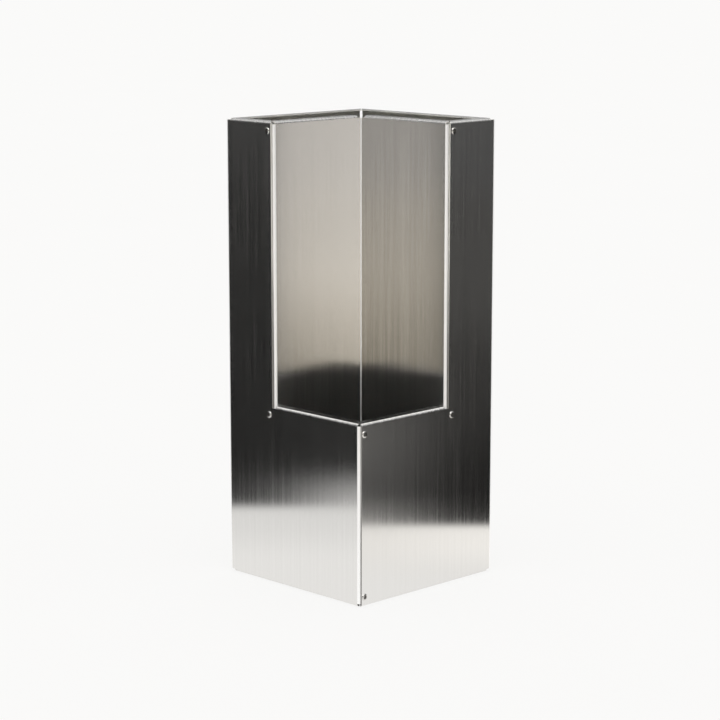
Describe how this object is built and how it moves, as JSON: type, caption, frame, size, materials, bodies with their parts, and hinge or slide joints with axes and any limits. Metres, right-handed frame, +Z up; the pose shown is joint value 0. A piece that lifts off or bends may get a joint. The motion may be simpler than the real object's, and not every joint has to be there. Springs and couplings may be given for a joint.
{
  "type": "umbrella stand",
  "caption": "Square umbrella stand in folded, riveted brushed stainless sheet, with a cut-away front corner and an inner V-shaped divider that makes a low front well and a tall rear well.",
  "frame": {"origin": "on the floor under the middle of the square body", "axes": "+Z up; the four walls face +X, -X, +Y and -Y; the cut-away corner points to +X -Y"},
  "size_m": [0.2072, 0.2084, 0.507],
  "materials": {
    "brushed_sheet": "vertical brushed stainless steel sheet",
    "rivet_steel": "plain stainless blind rivets",
    "mandrel_steel": "dull broken rivet stems",
    "pad_rubber": "matt black self-adhesive pads"
  },
  "bodies": {
    "root": {"left_shell": "brushed_sheet", "right_shell": "brushed_sheet", "divider": "brushed_sheet", "base_pan": "brushed_sheet", "foot_pad_open": "pad_rubber", "foot_pad_left": "pad_rubber", "foot_pad_right": "pad_rubber", "foot_pad_rear": "pad_rubber", "rivet_front_seam_upper": "rivet_steel", "rivet_front_seam_upper_mandrel": "mandrel_steel", "rivet_front_seam_lower": "rivet_steel", "rivet_front_seam_lower_mandrel": "mandrel_steel", "rivet_left_lap_upper": "rivet_steel", "rivet_left_lap_upper_mandrel": "mandrel_steel", "rivet_left_lap_lower": "rivet_steel", "rivet_left_lap_lower_mandrel": "mandrel_steel", "rivet_right_lap_upper": "rivet_steel", "rivet_right_lap_upper_mandrel": "mandrel_steel", "rivet_right_lap_lower": "rivet_steel", "rivet_right_lap_lower_mandrel": "mandrel_steel", "rivet_rear_seam_upper": "rivet_steel", "rivet_rear_seam_upper_mandrel": "mandrel_steel", "rivet_rear_seam_middle": "rivet_steel", "rivet_rear_seam_middle_mandrel": "mandrel_steel", "rivet_rear_seam_lower": "rivet_steel", "rivet_rear_seam_lower_mandrel": "mandrel_steel"}
  },
  "joints": []
}
